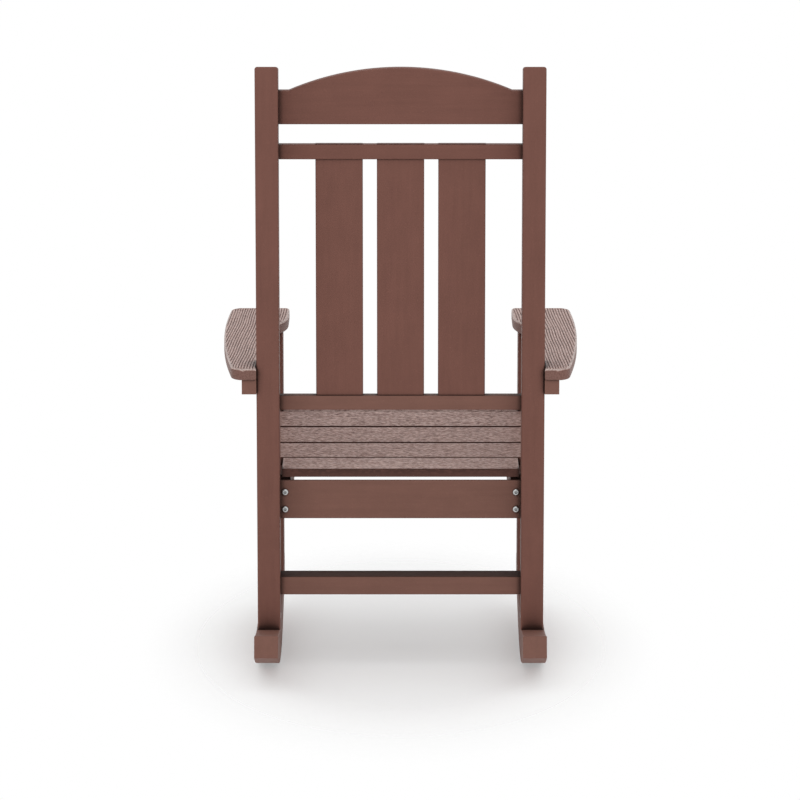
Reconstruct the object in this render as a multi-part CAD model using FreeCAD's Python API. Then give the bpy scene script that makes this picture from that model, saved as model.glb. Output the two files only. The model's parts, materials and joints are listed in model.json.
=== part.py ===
import FreeCAD
import Part
import math
import os
from FreeCAD import Vector

# Outdoor rocking chair in solid plastic lumber, all sizes in millimetres.
# The seat and back frame is drawn square, as it would stand on a bench: x to the side,
# forward distances measured from the back face of the rear posts, heights from their feet.
# The whole frame then leans back and stands on the two curved rockers.

# Whole frame
rest_lean = 4.0
frame_width = 543.0
edge_round = 3.0

# Rear posts and front legs
post_width = 43.0
post_depth = 66.0
post_length = 1081.5
post_top_fall = 10.0
post_top_round = 5.0
leg_rear_face = 429.0
leg_depth = 66.0
leg_outset = 4.0

# Rockers
rocker_width = 44.5
rocker_radius = 1243.0
rocker_middle_depth = 66.5
rocker_end_depth = 41.2
rocker_tail_reach = 395.4
rocker_toe_reach = 440.0
rocker_edge_round = 1.2
rocker_outset = 2.0
contact_forward = 175.0

# Rails between the posts
rail_thickness = 22.0
crest_bottom = 966.0
crest_shoulder_height = 63.5
crest_arch_rise = 43.0
crest_flat = 19.5
upper_rail_bottom = 899.5
lower_rail_bottom = 418.5
rail_height = 28.0

# Back slats
slat_width = 88.9
back_slat_thickness = 14.0
back_slat_pitch = 115.3
slot_depth = 16.0
slat_proud = 0.8
slat_edge_round = 2.0

# Seat
apron_bottom = 207.0
apron_clearance = 3.9
apron_top_fall = 5.5
side_rail_thickness = 23.0
seat_rear_setback = 6.0
seat_rear_height = 303.1
seat_slat_thickness = 16.0
seat_slat_gap = 6.35
seat_end_clearance = 3.5
seat_edge_round = 1.6
seat_overhang = 7.5
nose_slat_width = 72.0
nose_radius = 14.0
seat_slat_angles = [0.4, 4.72, 6.24, 6.4, -4.0]

# Rear stretcher
stretcher_bottom = 64.6
stretcher_height = 35.0
stretcher_depth = 50.0

# Arms and the battens below them
arm_top = 510.1
arm_thickness = 22.0
arm_rear_overhang = 12.0
arm_front_overhang = 76.0
arm_inner_reach = 49.5
arm_rear_reach = 45.0
arm_middle_reach = 69.8
arm_front_reach = 65.0
arm_middle_share = 0.458
arm_neck_start = 260.0
arm_neck_end = 82.0
arm_corner_round = 26.0
arm_inner_corner_round = 12.0
batten_thickness = 27.3
batten_height = 28.0
batten_end_inset = 5.0

# Fasteners
head_diameter = 12.2
head_height = 3.2
socket_share = 0.47
socket_depth = 2.4
apron_screw_inset = 9.0
screw_diameter = 5.0
bolt_diameter = 6.0
bolt_head_diameter = 14.0
screw_bite = 20.0
bolt_bite = 40.0
bolt_edge_distance = 11.0
nut_diameter = 12.0
nut_height_above_foot = 24.0
counterbore_diameter = 16.0
counterbore_depth = 16.0
pocket_screw_diameter = 4.0
pocket_screw_head = 8.0
pocket_screw_length = 29.0
pocket_diameter = 9.0
pocket_length = 40.0
pocket_angle = 15.0
pocket_depth = 18.0
pocket_setback = 9.5
slat_screw_inset = 26.0

# Values that follow from the driving dimensions
post_outer = frame_width / 2
post_inner = post_outer - post_width
post_centre = post_outer - post_width / 2
rail_rear_face = post_depth - rail_thickness
leg_inner = post_inner + leg_outset
leg_outer = leg_inner + post_width
leg_centre = leg_inner + post_width / 2
side_rail_inner = leg_inner - side_rail_thickness
side_rail_centre = leg_inner - side_rail_thickness / 2
seat_rear_edge = rail_rear_face + seat_rear_setback
leg_front_face = leg_rear_face + leg_depth
arm_length = arm_rear_overhang + leg_front_face + arm_front_overhang
arm_front_inner = post_outer - arm_inner_reach
arm_rear_outer = post_outer + arm_rear_reach
arm_middle_outer = post_outer + arm_middle_reach
arm_front_outer = post_outer + arm_front_reach
arm_underside = arm_top - arm_thickness
apron_top = seat_rear_height - seat_slat_thickness - apron_clearance
apron_height = apron_top - apron_bottom
slat_pitches = range(len(seat_slat_angles))


def point(x, forward, up):
    return Vector(x, -forward, up)


def board(x0, x1, forward0, forward1, up0, up1):
    size = (x1 - x0, forward1 - forward0, up1 - up0)
    return Part.makeBox(size[0], size[1], size[2], Vector(x0, -forward1, up0))


def outline_face(edges):
    wire = Part.Wire(Part.__sortEdges__(edges))
    return Part.Face(wire)


def arc_through(a, b, c):
    return Part.Arc(a, b, c).toShape()


def round_edges(solid, radius, wanted):
    edges = [edge for edge in solid.Edges if wanted(edge)]
    if not edges:
        return solid
    return solid.makeFillet(radius, edges)


def runs_along(edge, axis, share=0.9):
    ends = edge.Vertexes
    if len(ends) < 2:
        return False
    step = ends[-1].Point - ends[0].Point
    if step.Length < 1e-6:
        return False
    return abs(step.dot(axis)) / step.Length > share


def eased_board(x0, x1, forward0, forward1, up0, up1, axis):
    solid = board(x0, x1, forward0, forward1, up0, up1)
    return round_edges(solid, edge_round, lambda edge: runs_along(edge, axis))


def mirrored(solid):
    return solid.mirror(Vector(0, 0, 0), Vector(1, 0, 0))


ALONG_X = Vector(1, 0, 0)
ALONG_Y = Vector(0, 1, 0)
ALONG_Z = Vector(0, 0, 1)


# Rear posts: the top end falls a little toward the front
def rear_post():
    foot_allowance = rocker_middle_depth
    ring = [
        point(post_inner, 0, -foot_allowance),
        point(post_inner, post_depth, -foot_allowance),
        point(post_inner, post_depth, post_length - post_top_fall),
        point(post_inner, 0, post_length),
    ]
    ring.append(ring[0])
    solid = Part.Face(Part.makePolygon(ring)).extrude(Vector(post_width, 0, 0))
    solid = round_edges(
        solid, post_top_round,
        lambda edge: runs_along(edge, ALONG_Y) and edge.CenterOfMass.z > post_length / 2,
    )
    outside = [
        edge for edge in solid.Edges
        if edge.CenterOfMass.z > -foot_allowance + 1 and not runs_along(edge, ALONG_Y)
    ]
    return solid.makeFillet(edge_round, outside)


def front_leg():
    foot_allowance = rocker_middle_depth * 2
    return eased_board(
        leg_inner, leg_outer, leg_rear_face, leg_front_face,
        -foot_allowance, arm_underside, ALONG_Z,
    )


# Crest rail: short level shoulders and one long arch between them
def crest_rail():
    shoulder = crest_bottom + crest_shoulder_height
    apex = shoulder + crest_arch_rise
    arch_half = post_inner - crest_flat
    corners = [
        point(-post_inner, rail_rear_face, crest_bottom),
        point(post_inner, rail_rear_face, crest_bottom),
        point(post_inner, rail_rear_face, shoulder),
        point(arch_half, rail_rear_face, shoulder),
        point(-arch_half, rail_rear_face, shoulder),
        point(-post_inner, rail_rear_face, shoulder),
    ]
    edges = [
        Part.makeLine(corners[0], corners[1]),
        Part.makeLine(corners[1], corners[2]),
        Part.makeLine(corners[2], corners[3]),
        arc_through(corners[3], point(0, rail_rear_face, apex), corners[4]),
        Part.makeLine(corners[4], corners[5]),
        Part.makeLine(corners[5], corners[0]),
    ]
    solid = outline_face(edges).extrude(point(0, rail_thickness, 0))
    inside = post_inner - 1
    eased = [
        edge for edge in solid.Edges
        if abs(edge.CenterOfMass.x) < inside and not runs_along(edge, ALONG_Y)
    ]
    return solid.makeFillet(edge_round, eased)


def back_slat_centres():
    return [-back_slat_pitch, 0.0, back_slat_pitch]


# Back slats stand in slots in the middle of both rails
def back_slat(centre):
    middle = rail_rear_face + rail_thickness / 2
    foot = lower_rail_bottom + rail_height - slot_depth
    head = upper_rail_bottom + rail_height + slat_proud
    solid = board(
        centre - slat_width / 2, centre + slat_width / 2,
        middle - back_slat_thickness / 2, middle + back_slat_thickness / 2,
        foot, head,
    )
    return round_edges(solid, slat_edge_round, lambda edge: runs_along(edge, ALONG_Z))


def back_rail(bottom):
    solid = eased_board(
        -post_inner, post_inner, rail_rear_face, post_depth,
        bottom, bottom + rail_height, ALONG_X,
    )
    for centre in back_slat_centres():
        solid = solid.cut(back_slat(centre))
    return solid


# Seat contour: the corners of the slats' undersides, from the rear edge forward
def seat_line():
    forward = seat_rear_edge
    up = seat_rear_height - seat_slat_thickness
    runs = []
    for number in slat_pitches:
        angle = math.radians(seat_slat_angles[number])
        width = slat_width
        if number == len(seat_slat_angles) - 1:
            width = nose_slat_width
        start = (forward, up)
        forward += width * math.cos(angle)
        up += width * math.sin(angle)
        runs.append((start, (forward, up), angle))
        forward += seat_slat_gap * math.cos(angle)
        up += seat_slat_gap * math.sin(angle)
    return runs


# The rear slat fits between the posts and the nose slat between the legs; the others overhang
def seat_slat_half(start, end):
    if start[0] < post_depth:
        return post_inner - seat_end_clearance
    if end[0] > leg_rear_face:
        return leg_inner
    return leg_inner + seat_overhang


def seat_slat(number):
    start, end, angle = seat_line()[number]
    width = math.hypot(end[0] - start[0], end[1] - start[1])
    half = seat_slat_half(start, end)
    solid = board(-half, half, 0, width, 0, seat_slat_thickness)
    top = seat_slat_thickness - 0.1
    if number == len(seat_slat_angles) - 1:
        solid = round_edges(
            solid, nose_radius,
            lambda edge: runs_along(edge, ALONG_X)
            and edge.CenterOfMass.z > top and edge.CenterOfMass.y < -width + 0.1,
        )
        solid = round_edges(
            solid, seat_edge_round,
            lambda edge: runs_along(edge, ALONG_X)
            and edge.CenterOfMass.z > top and edge.CenterOfMass.y > -0.1,
        )
    else:
        solid = round_edges(
            solid, seat_edge_round,
            lambda edge: runs_along(edge, ALONG_X) and edge.CenterOfMass.z > top,
        )
    solid.rotate(Vector(0, 0, 0), ALONG_X, -math.degrees(angle))
    solid.translate(point(0, start[0], start[1]))
    return solid


# Side rails carry the seat slats, between the rear apron and the front apron
def side_rail():
    rear_end = post_depth
    front_end = leg_front_face - rail_thickness
    runs = seat_line()
    corners = [(rear_end, apron_bottom), (front_end, apron_bottom)]
    top_line = [(rear_end, height_on(runs[0], rear_end))]
    for (start, end, angle) in runs:
        top_line.append(start)
        top_line.append(end)
    top_line = [spot for spot in top_line if rear_end <= spot[0] < front_end - 1]
    top_line.append((front_end, height_at(runs, front_end)))
    corners += list(reversed(top_line))
    ring = [point(side_rail_inner, spot[0], spot[1]) for spot in corners]
    ring.append(ring[0])
    face = Part.Face(Part.makePolygon(ring))
    return face.extrude(Vector(side_rail_thickness, 0, 0))


def height_on(run, forward):
    start, end, angle = run
    return start[1] + (forward - start[0]) * math.tan(angle)


def height_at(runs, forward):
    for run in runs:
        if forward <= run[1][0]:
            return height_on(run, forward)
    return runs[-1][1][1]


# Rear apron: its top edge is bevelled down toward the front, clear of the rear slat
def rear_apron():
    ring = [
        point(-post_inner, rail_rear_face, apron_bottom),
        point(-post_inner, post_depth, apron_bottom),
        point(-post_inner, post_depth, apron_top - apron_top_fall),
        point(-post_inner, rail_rear_face, apron_top),
    ]
    ring.append(ring[0])
    solid = Part.Face(Part.makePolygon(ring)).extrude(Vector(2 * post_inner, 0, 0))
    return round_edges(solid, edge_round, lambda edge: runs_along(edge, ALONG_X))


# Front apron: closes the seat box between the front legs, up to the nose slat
def front_apron():
    rear = leg_front_face - rail_thickness
    runs = seat_line()
    top = min(height_at(runs, rear), height_at(runs, leg_front_face))
    return eased_board(-leg_inner, leg_inner, rear, leg_front_face, apron_bottom, top, ALONG_X)


def rear_stretcher():
    return eased_board(
        -post_inner, post_inner, post_depth - stretcher_depth, post_depth,
        stretcher_bottom, stretcher_bottom + stretcher_height, ALONG_X,
    )


# Arms: a curved outer side, and a neck that narrows to pass outside the rear post
def arm():
    rear = -arm_rear_overhang
    front = rear + arm_length
    neck_half = (arm_neck_start + arm_neck_end) / 2
    neck_middle = (arm_front_inner + post_outer) / 2
    neck_run = arm_neck_start - arm_neck_end
    neck_shift = post_outer - arm_front_inner
    bulge = math.hypot(neck_run, neck_shift) ** 2 / (4 * neck_shift)
    quarter = neck_run / 4
    bow = quarter ** 2 / (2 * bulge)
    level = arm_underside
    corners = [
        point(post_outer, rear, level),
        point(arm_rear_outer, rear, level),
        point(arm_middle_outer, rear + arm_length * arm_middle_share, level),
        point(arm_front_outer, front, level),
        point(arm_front_inner, front, level),
        point(arm_front_inner, front - arm_neck_end, level),
        point(arm_front_inner + bow, front - arm_neck_end - quarter, level),
        point(neck_middle, front - neck_half, level),
        point(post_outer - bow, front - arm_neck_start + quarter, level),
        point(post_outer, front - arm_neck_start, level),
    ]
    edges = [
        Part.makeLine(corners[0], corners[1]),
        arc_through(corners[1], corners[2], corners[3]),
        Part.makeLine(corners[3], corners[4]),
        Part.makeLine(corners[4], corners[5]),
        arc_through(corners[5], corners[6], corners[7]),
        arc_through(corners[7], corners[8], corners[9]),
        Part.makeLine(corners[9], corners[0]),
    ]
    solid = outline_face(edges).extrude(Vector(0, 0, arm_thickness))

    def stands_at(edge, spots):
        centre = Vector(edge.CenterOfMass.x, edge.CenterOfMass.y, level)
        near = min((spot - centre).Length for spot in spots)
        return runs_along(edge, ALONG_Z) and near < 1

    outer_corners = (corners[1], corners[3])
    solid = round_edges(solid, arm_corner_round, lambda edge: stands_at(edge, outer_corners))
    solid = round_edges(solid, arm_inner_corner_round, lambda edge: stands_at(edge, (corners[4],)))
    seam = post_outer + 1
    return round_edges(
        solid, edge_round,
        lambda edge: not runs_along(edge, ALONG_Z)
        and (edge.CenterOfMass.x > seam or edge.CenterOfMass.y < -post_depth),
    )


# Arm battens: one straight bar per side outside the post, notched to lie against the leg
def arm_batten():
    rear = batten_end_inset - arm_rear_overhang
    low = arm_underside - batten_height
    bar = board(post_outer, post_outer + batten_thickness, rear, leg_front_face, low, arm_underside)
    notch = board(leg_inner, leg_outer, leg_rear_face, leg_front_face, low, arm_underside)
    return bar.cut(notch)


def hex_prism(width, depth, base, axis):
    corner = width / 2 / math.cos(math.pi / 6)
    ring = [
        Vector(corner * math.cos(k * math.pi / 3), corner * math.sin(k * math.pi / 3), 0)
        for k in range(7)
    ]
    solid = Part.Face(Part.makePolygon(ring)).extrude(Vector(0, 0, depth))
    return placed(solid, base, axis)


def placed(solid, base, axis):
    turn = FreeCAD.Rotation(ALONG_Z, axis)
    result = solid.copy()
    result.Placement = FreeCAD.Placement(base, turn)
    return result


# A button head on a plain shank: base is where the head meets the surface, axis points out
def button_screw(base, axis, diameter, wide_head, length):
    head = Part.makeCylinder(wide_head / 2, head_height)
    rim = [edge for edge in head.Edges if edge.CenterOfMass.z > head_height / 2]
    rim = [edge for edge in rim if len(edge.Vertexes) == 1]
    head = head.makeFillet(head_height * 0.6, rim)
    shank = Part.makeCylinder(diameter / 2, length, Vector(0, 0, -length))
    solid = head.fuse(shank).removeSplitter()
    width = wide_head * socket_share
    socket = hex_prism(width, socket_depth + 1, Vector(0, 0, head_height - socket_depth), ALONG_Z)
    return placed(solid.cut(socket), base, axis)


# A flush countersunk screw: its flat head ends level with the surface
def flush_screw(base, axis, diameter, wide_head, length):
    depth = (wide_head - diameter) / 2
    head = Part.makeCone(diameter / 2, wide_head / 2, depth, Vector(0, 0, -depth))
    shank = Part.makeCylinder(diameter / 2, length - depth, Vector(0, 0, -length))
    solid = head.fuse(shank).removeSplitter()
    socket = hex_prism(diameter * 0.8, depth + 1, Vector(0, 0, -depth), ALONG_Z)
    return placed(solid.cut(socket), base, axis)


# The same screw with no socket, which drills the hole that it fills
def flush_hole(base, axis, diameter, wide_head, length):
    depth = (wide_head - diameter) / 2
    head = Part.makeCone(diameter / 2, wide_head / 2, depth, Vector(0, 0, -depth))
    shank = Part.makeCylinder(diameter / 2, length - depth, Vector(0, 0, -length))
    return placed(head.fuse(shank), base, axis)


def plain_hole(base, axis, diameter, length):
    return placed(Part.makeCylinder(diameter / 2, length, Vector(0, 0, -length)), base, axis)


# A screw's hole with the wider pocket that its head goes in by
def pocket_hole(base, axis, length):
    shank = Part.makeCylinder(pocket_screw_diameter / 2, length, Vector(0, 0, -length))
    pocket = Part.makeCylinder(pocket_diameter / 2, pocket_length)
    return placed(pocket.fuse(shank).removeSplitter(), base, axis)


# Where each fastener sits on the left side; the right side mirrors it
def apron_screw_spots():
    length = rail_thickness + screw_bite
    spots = []
    for up in (apron_bottom + apron_height * 0.24, apron_bottom + apron_height * 0.68):
        spots.append((point(post_inner - apron_screw_inset, rail_rear_face, up), ALONG_Y, length))
    return spots


def front_apron_screw_spots():
    length = rail_thickness + screw_bite
    outward = -ALONG_Y
    spots = []
    for up in (apron_bottom + apron_height * 0.25, apron_bottom + apron_height * 0.69):
        spots.append((point(side_rail_centre, leg_front_face, up), outward, length))
    return spots


def frame_bolt_spots():
    length = post_width + bolt_bite
    rail_middle = rail_rear_face + rail_thickness / 2
    stretcher_middle = post_depth - stretcher_depth / 2
    places = [
        (rail_middle, crest_bottom + crest_shoulder_height * 0.27),
        (rail_middle, crest_bottom + crest_shoulder_height * 0.73),
        (rail_middle, upper_rail_bottom + rail_height / 2),
        (rail_middle, lower_rail_bottom + rail_height / 2),
        (rail_middle, apron_bottom + apron_height * 0.47),
        (stretcher_middle, stretcher_bottom + stretcher_height / 2),
    ]
    return [(point(post_outer, forward, up), ALONG_X, length) for forward, up in places]


def leg_bolt_spots():
    length = side_rail_thickness + post_width * 0.8
    forward = leg_rear_face + bolt_edge_distance
    inward = -ALONG_X
    spots = []
    for up in (apron_bottom + apron_height * 0.22, apron_bottom + apron_height * 0.72):
        spots.append((point(side_rail_inner, forward, up), inward, length))
    return spots


def batten_bolt_spots():
    up = arm_underside - batten_height / 2
    outer_face = post_outer + batten_thickness * 0.6
    length = batten_thickness * 0.6 + post_width * 0.8
    middles = (post_depth / 2, (leg_rear_face + leg_front_face) / 2)
    return [(point(outer_face, middle, up), ALONG_X, length) for middle in middles]


def arm_screw_spots():
    low = arm_underside - batten_height
    x = post_outer + batten_thickness / 2
    length = batten_height + arm_thickness * 0.7
    spots = []
    for forward in (post_depth * 1.6, (post_depth + leg_rear_face) / 2, leg_rear_face - post_depth * 0.6):
        spots.append((point(x, forward, low), -ALONG_Z, length))
    return spots


# Pocket screws hold the seat from below: each starts in a pocket on a board's inner face
# and slants up through the board's top edge into the slat
def pocket_screw(foot, normal, toward_face):
    slant = math.radians(pocket_angle)
    outward = toward_face * math.sin(slant) - normal * math.cos(slant)
    return (foot + outward * pocket_depth, outward, pocket_screw_length)


def slat_screw_spots():
    spots = []
    apron_spot = leg_front_face - rail_thickness + pocket_setback
    rail_spot = side_rail_inner + pocket_setback
    for (start, end, angle) in seat_line():
        normal = point(0, -math.sin(angle), math.cos(angle))
        along = point(0, math.cos(angle), math.sin(angle))
        width = math.hypot(end[0] - start[0], end[1] - start[1])
        if end[0] > leg_front_face - rail_thickness:
            for share in (0.35, 0.87):
                foot = point(post_inner * share, apron_spot, height_on((start, end, angle), apron_spot))
                spots.append(pocket_screw(foot, normal, ALONG_Y))
            continue
        rail_start = max(post_depth - start[0], 0)
        for place in (rail_start + slat_screw_inset, width - slat_screw_inset):
            foot = point(rail_spot, start[0], start[1]) + along * place
            spots.append(pocket_screw(foot, normal, -ALONG_X))
    return spots


# Rockers, drawn on the floor: the lowest point of the bottom arc is the origin
def rocker_top_radius():
    angle = math.asin(rocker_tail_reach / rocker_radius)
    inner = rocker_radius - rocker_end_depth
    reach = inner * math.sin(angle)
    rise = rocker_radius - inner * math.cos(angle) - rocker_middle_depth
    return (reach ** 2 + rise ** 2) / (2 * rise)


def rocker_end(reach, sign):
    top_radius = rocker_top_radius()
    angle = math.asin(reach / rocker_radius)
    offset = rocker_radius - rocker_middle_depth - top_radius
    along = offset * math.cos(angle) + math.sqrt(top_radius ** 2 - (offset * math.sin(angle)) ** 2)
    low = (sign * reach, rocker_radius * (1 - math.cos(angle)))
    high = (sign * along * math.sin(angle), rocker_radius - along * math.cos(angle))
    return low, high


def rocker_profile(width, depth_below):
    tail_low, tail_high = rocker_end(rocker_tail_reach, -1)
    toe_low, toe_high = rocker_end(rocker_toe_reach, 1)
    half = width / 2
    top = arc_through(
        point(-half, tail_high[0], tail_high[1]),
        point(-half, 0, rocker_middle_depth),
        point(-half, toe_high[0], toe_high[1]),
    )
    if depth_below:
        deep = [(toe_high[0], -depth_below), (tail_high[0], -depth_below)]
        sides = [
            Part.makeLine(point(-half, toe_high[0], toe_high[1]), point(-half, deep[0][0], deep[0][1])),
            Part.makeLine(point(-half, deep[0][0], deep[0][1]), point(-half, deep[1][0], deep[1][1])),
            Part.makeLine(point(-half, deep[1][0], deep[1][1]), point(-half, tail_high[0], tail_high[1])),
        ]
    else:
        bottom = arc_through(
            point(-half, tail_low[0], tail_low[1]), point(-half, 0, 0),
            point(-half, toe_low[0], toe_low[1]),
        )
        sides = [
            Part.makeLine(point(-half, toe_high[0], toe_high[1]), point(-half, toe_low[0], toe_low[1])),
            bottom,
            Part.makeLine(point(-half, tail_low[0], tail_low[1]), point(-half, tail_high[0], tail_high[1])),
        ]
    return outline_face([top] + sides).extrude(Vector(width, 0, 0))


def rocker_blank():
    solid = rocker_profile(rocker_width, 0)
    return solid.makeFillet(rocker_edge_round, solid.Edges)


def foot_height():
    top_radius = rocker_top_radius()
    return rocker_middle_depth + top_radius - math.sqrt(top_radius ** 2 - contact_forward ** 2)


def leaned(solid):
    result = solid.copy()
    result.rotate(Vector(0, 0, 0), ALONG_X, -rest_lean)
    result.translate(Vector(0, 0, foot_height()))
    return result


def leaned_point(spot):
    turn = FreeCAD.Rotation(ALONG_X, -rest_lean)
    return turn.multVec(spot) + Vector(0, 0, foot_height())


# The rockers splay a little outward from the rear posts to the front legs
def rocker_splay():
    rear = leaned_point(point(post_centre, post_depth / 2, 0))
    front = leaned_point(point(leg_centre, (leg_rear_face + leg_front_face) / 2, 0))
    return math.degrees(math.atan2(front.x - rear.x, rear.y - front.y))


def set_under_frame(solid):
    rear = leaned_point(point(post_centre + rocker_outset, post_depth / 2, 0))
    result = solid.copy()
    result.translate(Vector(rear.x, -contact_forward, 0))
    result.rotate(Vector(rear.x, rear.y, 0), ALONG_Z, rocker_splay())
    return result


# Rocker bolts rise through the rocker into a cross nut in each foot
def rocker_bolt_parts(foot_centre):
    down = -ALONG_Z
    start = Vector(foot_centre.x, foot_centre.y, 0)
    forward = -foot_centre.y - contact_forward
    floor_rise = rocker_radius - math.sqrt(rocker_radius ** 2 - forward ** 2)
    top_radius = rocker_top_radius()
    top = rocker_middle_depth + top_radius - math.sqrt(top_radius ** 2 - forward ** 2)
    head_level = floor_rise + counterbore_depth
    nut_level = top + nut_height_above_foot
    base = Vector(start.x, start.y, head_level)
    bolt = button_screw(base, down, bolt_diameter, bolt_head_diameter, nut_level - head_level)
    hole = plain_hole(base, down, bolt_diameter, nut_level - head_level)
    bore_base = Vector(start.x, start.y, floor_rise - counterbore_depth)
    bore = plain_hole(bore_base, down, counterbore_diameter, counterbore_depth * 2)
    nut = Part.makeCylinder(
        nut_diameter / 2, post_width,
        Vector(foot_centre.x - post_width / 2, foot_centre.y, nut_level), ALONG_X,
    )
    return bolt, hole, bore, nut


def both_sides(spots, make):
    solids = []
    for spot in spots:
        solid = make(spot)
        solids.append(solid)
        solids.append(mirrored(solid))
    return solids


def drilled(solid, holes):
    box = solid.BoundBox
    near = [hole for hole in holes if box.intersect(hole.BoundBox)]
    if not near:
        return solid
    result = solid.cut(Part.makeCompound(near))
    return result.Solids[0]


def build_frame():
    pieces = {}
    post = rear_post()
    leg = front_leg()
    batten = arm_batten()
    for side, turn in (("left", lambda solid: solid), ("right", mirrored)):
        pieces["rear_post_" + side] = turn(post)
        pieces["front_leg_" + side] = turn(leg)
        pieces["seat_side_rail_" + side] = turn(side_rail())
        pieces["arm_" + side] = turn(arm())
        pieces["arm_batten_" + side] = turn(batten)
    pieces["crest_rail"] = crest_rail()
    pieces["upper_back_rail"] = back_rail(upper_rail_bottom)
    pieces["lower_back_rail"] = back_rail(lower_rail_bottom)
    for name, centre in zip(("right", "centre", "left"), back_slat_centres()):
        pieces["back_slat_" + name] = back_slat(centre)
    pieces["rear_apron"] = rear_apron()
    pieces["front_apron"] = front_apron()
    pieces["rear_stretcher"] = rear_stretcher()
    for number in slat_pitches:
        pieces["seat_slat_" + str(number + 1)] = seat_slat(number)
    return pieces


def build_fasteners():
    apron = both_sides(
        apron_screw_spots(), lambda s: button_screw(s[0], s[1], screw_diameter, head_diameter, s[2]))
    front = both_sides(
        front_apron_screw_spots(),
        lambda s: button_screw(s[0], s[1], screw_diameter, head_diameter, s[2]))
    frame = both_sides(
        frame_bolt_spots(),
        lambda s: flush_screw(s[0], s[1], bolt_diameter, bolt_head_diameter, s[2]))
    leg = both_sides(
        leg_bolt_spots(),
        lambda s: button_screw(s[0], s[1], bolt_diameter, bolt_head_diameter, s[2]))
    batten = both_sides(
        batten_bolt_spots(),
        lambda s: button_screw(s[0], s[1], bolt_diameter, bolt_head_diameter, s[2]))
    arms = both_sides(
        arm_screw_spots(),
        lambda s: flush_screw(s[0], s[1], screw_diameter, head_diameter * 0.8, s[2]))
    slats = both_sides(
        slat_screw_spots(),
        lambda s: button_screw(s[0], s[1], pocket_screw_diameter, pocket_screw_head, s[2]))
    return {
        "rear_apron_screws": apron,
        "front_apron_screws": front,
        "back_frame_bolts": frame,
        "front_leg_bolts": leg,
        "arm_batten_bolts": batten,
        "arm_screws": arms,
        "seat_slat_screws": slats,
    }


def build_holes():
    holes = []
    for spots, diameter in (
        (apron_screw_spots(), screw_diameter),
        (front_apron_screw_spots(), screw_diameter),
        (leg_bolt_spots(), bolt_diameter),
        (batten_bolt_spots(), bolt_diameter),
    ):
        holes += both_sides(spots, lambda s: plain_hole(s[0], s[1], diameter, s[2]))
    holes += both_sides(
        batten_bolt_spots(),
        lambda s: plain_hole(s[0] + s[1] * (batten_thickness), s[1], counterbore_diameter, batten_thickness))
    holes += both_sides(
        frame_bolt_spots(), lambda s: flush_hole(s[0], s[1], bolt_diameter, bolt_head_diameter, s[2]))
    holes += both_sides(
        arm_screw_spots(), lambda s: flush_hole(s[0], s[1], screw_diameter, head_diameter * 0.8, s[2]))
    holes += both_sides(slat_screw_spots(), lambda s: pocket_hole(s[0], s[1], s[2]))
    return holes


def build_chair():
    holes = build_holes()
    pieces = {name: leaned(drilled(solid, holes)) for name, solid in build_frame().items()}
    fasteners = {name: [leaned(solid) for solid in group] for name, group in build_fasteners().items()}

    below = set_under_frame(rocker_profile(rocker_width * 4, rocker_radius))
    rocker = set_under_frame(rocker_blank())
    feet = [
        leaned_point(point(post_centre, post_depth / 2, 0)),
        leaned_point(point(leg_centre, (leg_rear_face + leg_front_face) / 2, 0)),
    ]
    bolts = []
    nuts = []
    foot_holes = []
    bores = []
    for foot in feet:
        bolt, hole, bore, nut = rocker_bolt_parts(foot)
        bolts.append(bolt.cut(nut))
        nuts.append(nut)
        foot_holes.append(hole)
        bores.append(bore)
    tools = Part.makeCompound(foot_holes + nuts)
    for side, turn in (("left", lambda solid: solid), ("right", mirrored)):
        pieces["rocker_" + side] = turn(rocker.cut(Part.makeCompound(foot_holes + bores)).Solids[0])
        for name in ("rear_post_" + side, "front_leg_" + side):
            cut = pieces[name].cut(turn(below)).cut(turn(tools))
            pieces[name] = max(cut.Solids, key=lambda solid: solid.Volume)
    fasteners["rocker_bolts"] = bolts + [mirrored(solid) for solid in bolts]
    fasteners["cross_nuts"] = nuts + [mirrored(solid) for solid in nuts]
    for name, group in fasteners.items():
        pieces[name] = Part.makeCompound(group)
    return pieces


def outline_box(pieces):
    box = FreeCAD.BoundBox()
    for solid in pieces.values():
        box.add(solid.optimalBoundingBox(False, False))
    return box


# The origin lies on the floor under the middle of the chair's outline
def centred(pieces):
    whole = outline_box(pieces)
    shift = Vector(0, -(whole.YMin + whole.YMax) / 2, -whole.ZMin)
    for solid in pieces.values():
        solid.translate(shift)
    return pieces


def main():
    os.makedirs("parts", exist_ok=True)
    pieces = centred(build_chair())
    for name, solid in pieces.items():
        solid.exportStep(os.path.join("parts", name + ".step"))
    whole = outline_box(pieces)
    print("size", round(whole.XLength, 1), round(whole.YLength, 1), round(whole.ZLength, 1))


main()
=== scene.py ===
import json
import math

import bmesh
import bpy
import numpy as np
from bpy.props import FloatProperty, FloatVectorProperty, PointerProperty
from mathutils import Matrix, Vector, noise


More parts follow.
